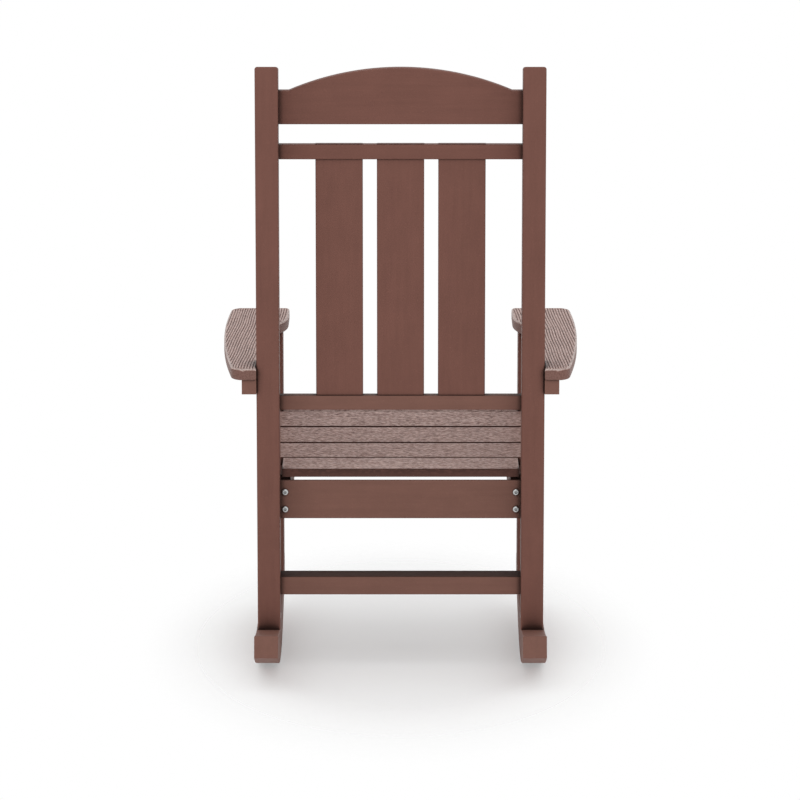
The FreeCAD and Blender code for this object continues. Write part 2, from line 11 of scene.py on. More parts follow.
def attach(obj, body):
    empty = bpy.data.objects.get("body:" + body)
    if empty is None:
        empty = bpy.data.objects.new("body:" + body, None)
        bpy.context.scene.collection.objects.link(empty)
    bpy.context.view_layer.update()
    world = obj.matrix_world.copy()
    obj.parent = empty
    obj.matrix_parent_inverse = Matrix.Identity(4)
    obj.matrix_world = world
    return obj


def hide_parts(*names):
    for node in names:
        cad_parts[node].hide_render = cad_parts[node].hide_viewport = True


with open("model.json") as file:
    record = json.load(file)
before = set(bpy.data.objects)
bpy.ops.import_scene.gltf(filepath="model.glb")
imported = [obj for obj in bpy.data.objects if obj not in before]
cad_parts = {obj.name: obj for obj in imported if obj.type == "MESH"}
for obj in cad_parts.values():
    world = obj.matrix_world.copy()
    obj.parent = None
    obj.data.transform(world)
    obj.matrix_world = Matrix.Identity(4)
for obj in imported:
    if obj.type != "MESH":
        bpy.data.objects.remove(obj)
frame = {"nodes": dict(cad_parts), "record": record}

bl_info = {
    "name": "Porch Rocking Chair",
    "version": (1, 0, 0),
    "blender": (4, 5, 0),
    "location": "View3D > Sidebar > Rocker",
    "description": "Dresses the rocking chair in embossed plastic lumber and sets its stage",
    "category": "Object",
}

NODES = frame["nodes"]
SLOTS = {row["node"]: row["material_slot"] for row in frame["record"]["subparts"]}
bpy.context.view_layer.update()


# Shader expressions

# Ray samples, and the shares of the view closed off at which painted shade in corners starts and
# is full
CREVICE_SAMPLES = 8
CREVICE_START = 0.1
CREVICE_FULL = 0.46


class Value:
    """A socket that carries a number, so that plain sums on it add Math nodes"""

    def __init__(self, graph, socket):
        self.graph = graph
        self.socket = socket

    def made(self, operation, first, second):
        node = self.graph.add("ShaderNodeMath", {"operation": operation}, {0: first, 1: second})
        return Value(self.graph, node.outputs[0])

    def __add__(self, other):
        return self.made("ADD", self, other)

    def __radd__(self, other):
        return self.made("ADD", other, self)

    def __sub__(self, other):
        return self.made("SUBTRACT", self, other)

    def __rsub__(self, other):
        return self.made("SUBTRACT", other, self)

    def __mul__(self, other):
        return self.made("MULTIPLY", self, other)

    def __rmul__(self, other):
        return self.made("MULTIPLY", other, self)

    def __pow__(self, other):
        return self.made("POWER", self, other)

    def limited(self, low, high):
        """The same value fitted from low-high to 0-1, and clamped"""
        sockets = {"Value": self, "From Min": low, "From Max": high}
        node = self.graph.add("ShaderNodeMapRange", {"clamp": True}, sockets)
        return Value(self.graph, node.outputs[0])


class Graph:
    """The nodes of one material or of the world"""

    def __init__(self, tree):
        self.tree = tree
        tree.nodes.clear()

    def add(self, kind, settings=None, sockets=None):
        node = self.tree.nodes.new(kind)
        for name, value in (settings or {}).items():
            setattr(node, name, value)
        for name, value in (sockets or {}).items():
            self.feed(node.inputs[name], value)
        return node

    def feed(self, socket, value):
        if isinstance(value, Value):
            self.tree.links.new(value.socket, socket)
        elif isinstance(value, bpy.types.NodeSocket):
            self.tree.links.new(value, socket)
        else:
            socket.default_value = value

    def place(self):
        return self.add("ShaderNodeTexCoord").outputs["Object"]

    def stretched(self, vector, scale, offset=(0, 0, 0)):
        sockets = {"Vector": vector, "Scale": scale, "Location": offset}
        node = self.add("ShaderNodeMapping", {}, sockets)
        return node.outputs[0]

    def cloud(self, vector, scale, detail, roughness):
        sockets = {"Vector": vector, "Scale": scale, "Detail": detail, "Roughness": roughness}
        return Value(self, self.add("ShaderNodeTexNoise", {}, sockets).outputs[0])

    def pebbles(self, vector, scale):
        sockets = {"Vector": vector, "Scale": scale}
        node = self.add("ShaderNodeTexVoronoi", {"feature": "SMOOTH_F1"}, sockets)
        return Value(self, node.outputs["Distance"])

    def painted_shade(self, reach, low=CREVICE_START, high=CREVICE_FULL):
        """Mask of painted shade: 0 on open faces, 1 in tight corners, where other faces stand
        within reach

        low and high are the shares of the view they close off at which it starts and is full
        """
        settings = {"samples": CREVICE_SAMPLES}
        node = self.add("ShaderNodeAmbientOcclusion", settings, {"Distance": reach})
        return (1.0 - Value(self, node.outputs["AO"])).limited(low, high)

    def upward(self):
        """From 0 on upright faces to 1 on level tops"""
        normal = self.add("ShaderNodeNewGeometry").outputs["Normal"]
        height = self.add("ShaderNodeSeparateXYZ", {}, {0: normal}).outputs["Z"]
        return Value(self, height).limited(0.5, 0.9)

    def mixed(self, factor, first, second):
        node = self.add("ShaderNodeMix", {"data_type": "RGBA"})
        self.feed(node.inputs["Factor"], factor)
        self.feed(node.inputs[6], first)
        self.feed(node.inputs[7], second)
        return node.outputs[2]

    def bumped(self, height, distance, strength):
        sockets = {"Height": height, "Distance": distance, "Strength": strength}
        return self.add("ShaderNodeBump", {}, sockets).outputs[0]

    def surface(self, **sockets):
        named = {name.replace("_", " "): value for name, value in sockets.items()}
        shader = self.add("ShaderNodeBsdfPrincipled", {}, named)
        self.add("ShaderNodeOutputMaterial", {}, {"Surface": shader.outputs[0]})


def new_material(name):
    material = bpy.data.materials.new(name)
    material.use_nodes = True
    return material, Graph(material.node_tree)


def shade(colour, factor):
    return tuple(part * factor for part in colour[:3]) + (1.0,)


# Finishes

# Colour of the painted highlight along rounded rims
EDGE_HIGHLIGHT = (0.52, 0.44, 0.41)

# Reaches in metres of the painted shade line along a joint, and of the wider painted shade in a
# sheltered place
BOARD_LINE_REACH = 0.014
GRAIN_LINE_REACH = 0.016
STEEL_LINE_REACH = 0.004
FOOT_SHADE_REACH = 0.08
TOP_SHADE_REACH = 0.4
ARM_SHADE_REACH = 0.1
SEAT_SHADE_REACH = 0.3

# Heights of the surface bumps in metres
BOARD_BUMP = 0.00035
GRAIN_BUMP = 0.0004
STEEL_BUMP = 0.00008
FLOOR_BUMP = 0.0002

# The floor is whole out to the core's share of its reach and fades beyond, by this power of what
# is left. Its middle lies this many metres to the chair's front, and its disc ends at this many
# reaches
FLOOR_CORE = 0.56
FLOOR_FADE = 1.4
FLOOR_SHIFT = 0.07
FLOOR_RIM = 1.2
FLOOR_SIDES = 48


def smooth_lumber(name, colour, stretch, foot=0.0, tops=0.0):
    """Moulded plastic lumber: a pebbled skin, soft mottling and faint drag lines along the board,
    and a painted line of shade along its joints

    foot is the strength of the wider painted shade where uprights meet other boards, most at their
    feet. tops is that of the painted shade on level tops with boards over them
    """
    material, graph = new_material(name)
    place = graph.place()
    along = graph.stretched(place, stretch)
    mottle = graph.cloud(place, scale=14.0, detail=4.0, roughness=0.6)
    drag = graph.cloud(along, scale=90.0, detail=4.0, roughness=0.65)
    grit = graph.cloud(place, scale=900.0, detail=2.0, roughness=0.6)
    tone = (mottle * 0.3 + drag * 0.35 + grit * 0.35).limited(0.36, 0.66)
    base = graph.mixed(tone, shade(colour, 0.89), shade(colour, 1.12))
    speck = graph.cloud(place, scale=420.0, detail=1.0, roughness=0.5).limited(0.68, 0.78)
    base = graph.mixed(speck * 0.35, base, shade(colour, 1.7))
    # Painted shade where an upright meets other boards, strongest at its foot
    if foot:
        closed = graph.painted_shade(FOOT_SHADE_REACH, 0.18, 0.5)
        base = graph.mixed(closed * foot, base, shade(colour, 0.2))
    # Painted shade on level tops under other boards
    if tops:
        covered = graph.painted_shade(TOP_SHADE_REACH, 0.1, 0.4) * graph.upward()
        base = graph.mixed(covered * tops, base, shade(colour, 0.2))
    # Painted shade: a dark line along every joint and corner
    base = graph.mixed(graph.painted_shade(BOARD_LINE_REACH) * 0.85, base, shade(colour, 0.14))
    skin = graph.pebbles(place, scale=620.0) * 0.6 + grit * 0.5 + drag * 0.7
    graph.surface(
        Base_Color=base,
        Roughness=(drag * 0.14 + mottle * 0.1 + 0.42),
        Specular_IOR_Level=0.1,
        Normal=graph.bumped(skin, BOARD_BUMP, strength=0.5),
    )
    return material


def grained_lumber(name, colour, pale, stretch, pore, shelter):
    """Embossed plastic lumber with fine dark pores, and light and shade painted into its colour

    Painted sheen makes the ridges pale and a painted highlight the rounded rims; painted shade
    darkens the grooves, the sawn sides and the gaps. The mesh's groove value is below 0 on a rim
    with a painted highlight, 0 on a ridge, 1 in a groove or on a sawn side, and more than 1 in the
    painted shade of a gap. shelter is the reach of the painted brown shade that other boards
    leave, and pore the strength of the pores
    """
    material, graph = new_material(name)
    place = graph.place()
    attribute = graph.add("ShaderNodeAttribute", {"attribute_name": "groove"})
    groove = Value(graph, attribute.outputs["Fac"])
    mottle = graph.cloud(place, scale=16.0, detail=4.0, roughness=0.6)
    grit = graph.cloud(place, scale=800.0, detail=2.0, roughness=0.6)
    along = graph.stretched(place, stretch)
    pores = graph.cloud(along, scale=330.0, detail=3.0, roughness=0.65).limited(0.46, 0.62)
    ridge = (1.0 - groove * 2.0).limited(0.0, 1.0)
    worn = (0.0 - groove).limited(0.0, 1.0)
    tone = (mottle * 0.6 + grit * 0.4).limited(0.36, 0.66)
    base = graph.mixed(tone, shade(colour, 0.88), shade(colour, 1.14))
    # Painted sheen: the ridges drawn paler
    base = graph.mixed(ridge * 0.75, base, shade(pale, 1.0))
    # Painted highlight along the rounded rims
    base = graph.mixed(worn * 0.75, base, shade(EDGE_HIGHLIGHT, 1.0))
    # Painted shade in the grooves and on the sawn sides
    base = graph.mixed(groove.limited(0.3, 0.9) * 0.8, base, shade(colour, 0.45))
    # Painted shade in the gaps between slats
    base = graph.mixed((groove - 1.0).limited(0.0, 0.6) * 0.9, base, shade(colour, 0.1))
    base = graph.mixed(pores * pore, base, shade(colour, 0.6))
    # Painted brown shade where other boards stand near
    base = graph.mixed(graph.painted_shade(shelter, 0.14, 0.6) * 0.6, base, shade(colour, 0.9))
    # Painted shade: a dark line along every joint
    base = graph.mixed(graph.painted_shade(GRAIN_LINE_REACH) * 0.92, base, shade(colour, 0.1))
    skin = graph.pebbles(place, scale=700.0) * 0.4 + grit * 0.4 - pores * 0.6
    graph.surface(
        Base_Color=base,
        Roughness=(grit * 0.1 + groove.limited(0.0, 1.0) * 0.2 + 0.36),
        Specular_IOR_Level=0.16,
        Normal=graph.bumped(skin, GRAIN_BUMP, strength=0.5),
    )
    return material


def brushed_steel(name, colour):
    """Stainless fasteners: fine scratches along the shank and a little dulling"""
    material, graph = new_material(name)
    place = graph.place()
    drawn = graph.stretched(place, (1.0, 0.12, 1.0))
    scratch = graph.cloud(drawn, scale=1400.0, detail=3.0, roughness=0.7)
    dull = graph.cloud(place, scale=260.0, detail=3.0, roughness=0.6)
    base = graph.mixed(dull.limited(0.35, 0.7), shade(colour, 0.86), shade(colour, 1.05))
    # Painted shade along the joints
    base = graph.mixed(graph.painted_shade(STEEL_LINE_REACH) * 0.85, base, shade(colour, 0.2))
    graph.surface(
        Base_Color=base,
        Metallic=1.0,
        Roughness=(scratch * 0.16 + dull * 0.16 + 0.2),
        Normal=graph.bumped(scratch, STEEL_BUMP, strength=0.4),
    )
    return material


def studio_floor(name, colour, reach, presence):
    """A matte pale floor that keeps the chair's shade and melts into the white background"""
    material, graph = new_material(name)
    place = graph.place()
    squeeze = (1.0 / reach[0], 1.0 / reach[1], 0.0)
    flat = graph.stretched(place, squeeze, (0.0, FLOOR_SHIFT / reach[1], 0.0))
    length = graph.add("ShaderNodeVectorMath", {"operation": "LENGTH"}, {0: flat})
    share = Value(graph, length.outputs["Value"])
    grain = graph.cloud(place, scale=300.0, detail=2.0, roughness=0.5)
    base = graph.mixed(grain.limited(0.3, 0.7), shade(colour, 0.99), shade(colour, 1.0))
    graph.surface(
        Base_Color=base,
        Roughness=(grain * 0.1 + 0.75),
        Alpha=((1.0 - share.limited(FLOOR_CORE, 1.0)) ** FLOOR_FADE * presence),
        Normal=graph.bumped(grain, FLOOR_BUMP, strength=0.2),
    )
    return material


# Embossed boards

GROOVE_DEPTH = 0.0009
GRAIN_PITCH = 0.0051
GROOVE_SHARPNESS = 4.2

# The changes in the grain: how quickly each comes and goes along and across the board, per metre,
# and what it adds to the board's seed
DRIFT = (2.2, 6.0, 0.0)
SWAY = (8.0, 20.0, 7.0)
BOLDNESS = (11.0, 160.0, 3.0)
CHOP = (180.0, 300.0, 23.0)
PORES = (100.0, 700.0, 19.0)

# How strong they are: drift and sway in grain pitches, the others in depths of a groove
DRIFT_SIZE, SWAY_SIZE = 1.6, 0.45
BOLD_MIDDLE, BOLD_SWING = 0.9, 0.6
CHOP_SWING, CHOP_LOSS = 1.6, 0.5
PORE_SIZE, PORE_START = 0.4, 0.12

# Widths in metres over which the grain fades in from a side and from an end, and of the worn rim
SIDE_FADE = 0.0045
END_FADE = 0.004
RIM_WIDTH = 0.002
RIM_FADE = 0.0025

# Places of the first sections from each end of a board, close together where its corners turn
END_STEPS = [0.0, 0.0003, 0.0008, 0.0015, 0.0025, 0.004, 0.006, 0.0085, 0.0115]
QUARTER_STEPS = 5
SMOOTH_LIMIT = math.radians(40)

# A board's upper face has at least this upward part in its normal. Its two end sections are
# measured this many metres inside the ends
UPPER_FACE = 0.8
PROBE_INSET = 1e-5


def upper_normal(node):
    """The normal of a board's broad upper face: the upward direction that most of its area has"""
    areas = {}
    for polygon in NODES[node].data.polygons:
        if polygon.normal.z < UPPER_FACE:
            continue
        key = tuple(round(part, 3) for part in polygon.normal)
        areas[key] = areas.get(key, 0.0) + polygon.area
    if not areas:
        raise RuntimeError("no upward face on " + node)
    return Vector(max(areas, key=areas.get)).normalized()


def node_points(node):
    """The corners of a node's mesh, one row each"""
    mesh = NODES[node].data
    flat = np.zeros(len(mesh.vertices) * 3, np.float32)
    mesh.vertices.foreach_get("co", flat)
    return flat.reshape(-1, 3).astype(float)


def outline_limits(node, along, across, up, stations):
    """How far a board reaches to both sides at each station along it, and its bottom and top

    It reads the level edges and those that run from top to bottom, not those of a rounded edge
    """
    points = node_points(node)
    local = np.stack([points @ np.array(axis) for axis in (along, across, up)], 1)
    bottom, top = local[:, 2].min(), local[:, 2].max()
    level = (bottom + top) / 2
    low = np.full(len(stations), np.inf)
    high = np.full(len(stations), -np.inf)
    for edge in NODES[node].data.edges:
        a, b = local[edge.vertices[0]], local[edge.vertices[1]]
        if (a[2] - level) * (b[2] - level) > 0 and abs(a[2] - b[2]) > 1e-5:
            continue
        first, last = min(a[0], b[0]), max(a[0], b[0])
        inside = np.nonzero((stations >= first - 1e-7) & (stations <= last + 1e-7))[0]
        for k in inside:
            share = 0.5 if last - first < 1e-9 else (stations[k] - a[0]) / (b[0] - a[0])
            place = a[1] + (b[1] - a[1]) * share
            low[k] = min(low[k], place)
            high[k] = max(high[k], place)
    return low, high, bottom, top


def ripple(along, across, seed, change):
    """Smooth noise between -1 and 1 at a place in metres"""
    return noise.noise(Vector((along * change[0], across * change[1], seed + change[2])))


def grain_depth(along, across, seed, broken):
    """Depth of the embossed grain, from 0 on a ridge to 1 in a groove, at a place in metres

    broken is how much its grooves are chopped into short strokes
    """
    drift = ripple(along, across, seed, DRIFT) * DRIFT_SIZE
    sway = ripple(along, across, seed, SWAY) * SWAY_SIZE
    wave = 0.5 - 0.5 * math.cos((across / GRAIN_PITCH + drift + sway) * math.tau)
    bold = BOLD_MIDDLE + BOLD_SWING * ripple(along, across, seed, BOLDNESS)
    bold += broken * (CHOP_SWING * ripple(along, across, seed, CHOP) - CHOP_LOSS)
    pore = PORE_SIZE * max(0.0, ripple(along, across, seed, PORES) - PORE_START)
    depth = wave ** GROOVE_SHARPNESS * max(0.0, bold) + pore
    return min(1.0, max(0.0, depth))


def eased(share):
    share = min(1.0, max(0.0, share))
    return share * share * (3 - 2 * share)


def rim_share(margin):
    """From 1 on a board's rim to 0 inside it, at a distance from its edge"""
    return 1 - eased((margin - RIM_WIDTH) / RIM_FADE)


class BoardShape:
    """How a board is shaped and how its grain runs

    The rounds are radii in metres: along its low and high side, below, and at its ends. The next
    three paint light and shade into its colour: how pale a painted highlight makes its rim, the
    groove value of its sawn sides, which paints shade on them, and how far the painted shade of a
    gap reaches up the round. slant turns the grain in the board's plane, and broken chops it up
    """

    def __init__(self, low_round, high_round, under_round, ends_round,
                 worn, side, dark, slant=0.0, broken=0.0):
        self.low_round = low_round
        self.high_round = high_round
        self.under_round = under_round
        self.ends_round = ends_round
        self.worn = worn
        self.side = side
        self.dark = dark
        self.slant = slant
        self.broken = broken


def quarter(place, height, radius, start, side, worn=None, dark=0.0):
    """A quarter turn of a board's section from an angle in degrees: places, heights and grooves

    Its groove value is the sawn side's painted shade, deepened by the painted shade of a gap, and
    on an upper round it goes over to the rim's painted highlight
    """
    turns = QUARTER_STEPS if radius > 1e-6 else 0
    angles = [math.radians(start + 90 * k / max(1, turns)) for k in range(turns + 1)]
    ring = []
    for angle in angles:
        share = 0.0 if worn is None else eased(math.sin(angle) * 1.6 - dark)
        value = (side + 0.3 * dark) * (1 - share) - (worn or 0.0) * share
        ring.append((place + radius * math.cos(angle), height + radius * math.sin(angle), value))
    return ring


def section(low, high, bottom, top, shape, depth_at, columns):
    """One closed ring across a board: flat below, rounded above, with the grain pressed in on top

    depth_at says how deep the grain is at a place across the board
    """
    under, side, worn, dark = shape.under_round, shape.side, shape.worn, shape.dark
    low_round, high_round = shape.low_round, shape.high_round
    start, end = high - high_round, low + low_round
    ring = quarter(low + under, bottom + under, under, 180, side)
    ring.append(((low + high) / 2, bottom, side))
    ring += quarter(high - under, bottom + under, under, 270, side)
    ring += quarter(start, top - high_round, high_round, 0, side, worn, dark)[:-1]
    for k in range(columns + 1):
        place = start + (end - start) * k / columns
        margin = min(place - low, high - place)
        # A value below 0 paints a highlight along the rim and presses nothing in
        depth = depth_at(place) * eased(margin / SIDE_FADE) - worn * rim_share(margin)
        ring.append((place, top - GROOVE_DEPTH * max(0.0, depth), depth))
    ring += quarter(end, top - low_round, low_round, 90, side, worn, dark)[1:]
    return ring


def loft_stations(length, step):
    """Places of the sections along a board, closer together near both ends"""
    reach = END_STEPS[-1]
    count = max(8, round((length - 2 * reach) / step))
    middle = np.linspace(reach, length - reach, count + 1)[1:-1]
    return np.array(END_STEPS + list(middle) + [length - place for place in reversed(END_STEPS)])


def end_drop(margin, radius):
    """How far a rounded end has dropped below the board's top, at a distance from that end"""
    if not radius or margin >= radius:
        return 0.0
    lift = 1 - (radius - margin) / radius
    return radius * (1 - math.sqrt(max(0.0, 1 - (1 - lift) ** 2)))


def embossed_board(name, node, along, step, shape, seed, columns):
    """Lofts a dense copy of a board with its grain pressed in, to stand for the plain solid"""
    up = upper_normal(node)
    along = Vector(along)
    along = (along - up * along.dot(up)).normalized()
    across = up.cross(along)
    reach = node_points(node) @ np.array(along)
    first, last = reach.min(), reach.max()
    stations = first + loft_stations(last - first, step)
    count = len(stations) - 1
    probe = stations.copy()
    probe[0] += PROBE_INSET
    probe[-1] -= PROBE_INSET
    low, high, bottom, top = outline_limits(node, along, across, up, probe)
    vertices, faces, depths = [], [], []
    for k, station in enumerate(stations):
        margin = min(station - first, last - station)
        fade = eased(margin / END_FADE)
        # A painted highlight along a rounded end
        end_highlight = shape.worn * rim_share(margin) if shape.ends_round else 0.0
        drop = end_drop(margin, shape.ends_round)
        raised = drop if shape.under_round else 0.0

        def depth_at(place):
            turned = place + station * shape.slant
            return grain_depth(station, turned, seed, shape.broken) * fade - end_highlight

        ring = section(low[k], high[k], bottom + raised, top - drop, shape, depth_at, columns)
        for place, height, depth in ring:
            vertices.append(along * station + across * place + up * height)
            depths.append(shape.side if k in (0, count) else depth)
    size = len(ring)
    for k in range(count):
        for j in range(size):
            a, b = k * size + j, k * size + (j + 1) % size
            faces.append((a, b, b + size, a + size))
    faces.append(tuple(reversed(range(size))))
    faces.append(tuple(range(count * size, count * size + size)))
    mesh = bpy.data.meshes.new(name)
    mesh.from_pydata(vertices, [], faces)
    mesh.validate()
    mesh.attributes.new("groove", "FLOAT", "POINT").data.foreach_set("value", depths)
    mesh.update()
    piece = bpy.data.objects.new(name, mesh)
    bpy.context.scene.collection.objects.link(piece)
    smooth_skin(mesh)
    return piece


def smooth_skin(mesh):
    """Smooths the lofted skin up to its sharp edges, and leaves both end caps flat"""
    work = bmesh.new()
    work.from_mesh(mesh)
    bmesh.ops.recalc_face_normals(work, faces=work.faces)
    for edge in work.edges:
        edge.smooth = len(edge.link_faces) == 2 and edge.calc_face_angle(0.0) < SMOOTH_LIMIT
    for face in work.faces:
        face.smooth = len(face.verts) == 4
    work.to_mesh(mesh)
    work.free()


def settle(piece, material, node):
    """Puts a lofted piece in the place of its CAD node"""
    piece.data.materials.clear()
    piece.data.materials.append(material)
    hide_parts(node)
    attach(piece, "root")


def dress(node, material):
    """Gives a CAD node's own mesh its finish"""
    mesh = NODES[node].data
    if not mesh.materials:
        mesh.materials.append(material)
    for k in range(len(mesh.materials)):
        mesh.materials[k] = material


# Settings

class LumberSettings(bpy.types.PropertyGroup):
    """Sizes and colours of the plastic lumber"""

    board_colour: FloatVectorProperty(
        name="Board colour", description="Colour of the smooth boards", subtype="COLOR",
        size=3, min=0.0, max=1.0, default=(0.178, 0.079, 0.061),
    )
    low_board_colour: FloatVectorProperty(
        name="Low board colour",
        description="Colour of the slightly paler lower boards, side rails, battens and rockers",
        subtype="COLOR", size=3, min=0.0, max=1.0, default=(0.196, 0.096, 0.074),
    )
    # Ridge colour is a painted sheen: the tops of the embossed grain drawn paler
    ridge_sheen_colour: FloatVectorProperty(
        name="Ridge colour", description="Colour of the worn tops of the embossed grain",
        subtype="COLOR", size=3, min=0.0, max=1.0, default=(0.7, 0.505, 0.452),
    )
    loft_step: FloatProperty(
        name="Loft step", description="Distance between the lofted sections of an embossed board",
        subtype="DISTANCE", unit="LENGTH", min=0.002, max=0.02, default=0.003,
    )
    arm_edge_round: FloatProperty(
        name="Arm edge radius", description="Radius around the edges of the arms",
        subtype="DISTANCE", unit="LENGTH", min=0.001, max=0.006, default=0.003,
    )
    seat_edge_round: FloatProperty(
        name="Slat edge radius", description="Radius along the upper edges of the seat slats",
        subtype="DISTANCE", unit="LENGTH", min=0.0005, max=0.006, default=0.0016,
    )
    nose_round: FloatProperty(
        name="Nose radius", description="Radius along the seat's front edge",
        subtype="DISTANCE", unit="LENGTH", min=0.004, max=0.016, default=0.014,
    )
    nose_back_round: FloatProperty(
        name="Nose slat back radius", description="Radius along the nose slat's rear edge",
        subtype="DISTANCE", unit="LENGTH", min=0.0005, max=0.008, default=0.0055,
    )


class FastenerSettings(bpy.types.PropertyGroup):
    """Finish of the stainless fasteners"""

    steel_colour: FloatVectorProperty(
        name="Steel colour", description="Colour of screws, bolts and nuts", subtype="COLOR",
        size=3, min=0.0, max=1.0, default=(0.6, 0.61, 0.61),
    )


class StageSettings(bpy.types.PropertyGroup):
    """Floor, lights and camera"""

    floor_colour: FloatVectorProperty(
        name="Floor colour", description="Colour of the studio floor", subtype="COLOR",
        size=3, min=0.0, max=1.0, default=(0.97, 0.97, 0.97),
    )
    floor_reach_side: FloatProperty(
        name="Floor reach to the sides",
        description="Distance beside the floor's middle at which it has faded out",
        subtype="DISTANCE", unit="LENGTH", min=0.4, max=10.0, default=0.51,
    )
    floor_reach_length: FloatProperty(
        name="Floor reach lengthwise",
        description="Distance before and behind the floor's middle at which it has faded out",
        subtype="DISTANCE", unit="LENGTH", min=0.5, max=10.0, default=1.1,
    )
    floor_presence: FloatProperty(
        name="Floor presence", description="How much of the floor and the shade on it shows",
        subtype="FACTOR", min=0.1, max=1.0, default=0.68,
    )
    lamp_power: FloatProperty(
        name="Key lamp power", description="Power of the broad lamp high on the camera's side",
        unit="POWER", min=0.0, max=2000.0, default=42.0,
    )
    top_lamp_power: FloatProperty(
        name="Top lamp power", description="Power of the soft lamp straight above the chair",
        unit="POWER", min=0.0, max=2000.0, default=9.0,
    )
    sky_strength: FloatProperty(
        name="Room light from above", description="Strength of the even light from above",
        min=0.0, max=2.0, default=0.77,
    )
    ground_strength: FloatProperty(
        name="Room light from below",
        description="Strength of the light that a far floor would throw back",
        min=0.0, max=2.0, default=0.92,
    )
    camera_distance: FloatProperty(
        name="Camera distance", description="How far behind the chair's middle the camera stands",
        subtype="DISTANCE", unit="LENGTH", min=2.0, max=30.0, default=8.85854,
    )
    camera_height: FloatProperty(
        name="Camera height", description="Height of the camera above the floor",
        subtype="DISTANCE", unit="LENGTH", min=0.2, max=5.0, default=1.8102,
    )
    camera_pitch: FloatProperty(
        name="Camera pitch", description="How far the camera looks down", subtype="ANGLE",
        unit="ROTATION", min=0.0, max=1.0, default=math.radians(7.309),
    )
    camera_lens: FloatProperty(
        name="Focal length", description="Focal length on a 36 mm sensor",
        subtype="DISTANCE_CAMERA", unit="CAMERA", min=20.0, max=400.0, default=208.36,
    )


# Operators

# Scale of a pattern along its board: the smaller it is, the longer are the streaks
SMOOTH_STRETCH = 0.06
ARM_STRETCH = 0.3
SLAT_STRETCH = 0.35

# Columns of the loft across a board, the groove value of its sawn sides, which paints shade on
# them, and what makes the grain of each board its own
ARM_COLUMNS = 210
ARM_SIDE = 0.43
ARM_SEEDS = {"left": 2.0, "right": 5.0}
ARM_SLANTS = {"left": 0.048, "right": -0.048}

SLAT_COLUMNS = 96
SLAT_SEED, SLAT_SEED_STEP = 10.0, 3.0
# A painted highlight on the outer slats' rims, and the side and gap values that paint shade down
# the sawn sides and into the gaps
SLAT_HIGHLIGHT = 0.35
SLAT_SIDE, SLAT_DARK = 1.0, 1.3


class RockerFrameOperator(bpy.types.Operator):
    """Finish the posts, legs, rails, slats, aprons, stretcher and rockers"""

    bl_idname = "rocker.dress_frame"
    bl_label = "Dress frame boards"

    def execute(self, context):
        lumber = context.scene.rocker_lumber
        colour, low_colour = tuple(lumber.board_colour), tuple(lumber.low_board_colour)
        crosswise = (SMOOTH_STRETCH, 1.0, 1.0)
        # Uprights get painted shade where they meet other boards, low level boards painted shade
        # on their sheltered tops
        upright = smooth_lumber("lumber_upright", colour, (1.0, 1.0, SMOOTH_STRETCH), foot=0.9)
        level = smooth_lumber("lumber_level", colour, crosswise)
        low_level = smooth_lumber("lumber_low_level", low_colour, crosswise, tops=0.95)
        lengthwise = smooth_lumber("lumber_lengthwise", low_colour, (1.0, SMOOTH_STRETCH, 1.0))
        for node, slot in SLOTS.items():
            if slot != "smooth_lumber":
                continue
            if node.startswith(("rear_post", "front_leg", "back_slat")):
                dress(node, upright)
            elif node.startswith(("rocker", "seat_side", "arm_batten")):
                dress(node, lengthwise)
            elif node in ("lower_back_rail", "rear_apron", "rear_stretcher"):
                dress(node, low_level)
            else:
                dress(node, level)
        return {"FINISHED"}


class RockerArmsOperator(bpy.types.Operator):
    """Build the two embossed arms over their plain solids"""

    bl_idname = "rocker.build_arms"
    bl_label = "Build arms"

    def execute(self, context):
        lumber = context.scene.rocker_lumber
        material = grained_lumber(
            "lumber_grained_arm", tuple(lumber.board_colour), tuple(lumber.ridge_sheen_colour),
            (1.0, ARM_STRETCH, 1.0), pore=0.5, shelter=ARM_SHADE_REACH,
        )
        radius = lumber.arm_edge_round
        for side in ("left", "right"):
            node = "arm_" + side
            shape = BoardShape(
                radius, radius, radius, radius,
                worn=1.0, side=ARM_SIDE, dark=0.0, slant=ARM_SLANTS[side],
            )
            piece = embossed_board(
                "embossed_" + node, node, (0, 1, 0), lumber.loft_step, shape,
                ARM_SEEDS[side], ARM_COLUMNS,
            )
            settle(piece, material, node)
        return {"FINISHED"}


class RockerSeatOperator(bpy.types.Operator):
    """Build the embossed seat slats over their plain solids"""

    bl_idname = "rocker.build_seat"
    bl_label = "Build seat slats"

    def execute(self, context):
        lumber = context.scene.rocker_lumber
        material = grained_lumber(
            "lumber_grained_seat", tuple(lumber.board_colour), tuple(lumber.ridge_sheen_colour),
            (SLAT_STRETCH, 1.0, 1.0), pore=0.75, shelter=SEAT_SHADE_REACH,
        )
        slats = sorted(
            node for node in SLOTS if node.startswith("seat_slat_") and node[-1].isdigit()
        )
        if not slats:
            raise RuntimeError("the frame has no seat slats")
        for node in slats:
            rear, nose = node == slats[0], node == slats[-1]
            # The outer two get a painted highlight along their rims. All but the nose slat get
            # painted shade down their sawn sides and into the gaps
            shape = BoardShape(
                low_round=lumber.nose_round if nose else lumber.seat_edge_round,
                high_round=lumber.nose_back_round if nose else lumber.seat_edge_round,
                under_round=0.0,
                ends_round=lumber.seat_edge_round if rear else 0.0,
                worn=SLAT_HIGHLIGHT if rear or nose else 0.0,
                side=0.0 if nose else SLAT_SIDE,
                dark=0.0 if nose else SLAT_DARK,
                broken=1.0,
            )
            piece = embossed_board(
                "embossed_" + node, node, (1, 0, 0), lumber.loft_step, shape,
                SLAT_SEED + SLAT_SEED_STEP * int(node[-1]), SLAT_COLUMNS,
            )
            settle(piece, material, node)
        return {"FINISHED"}


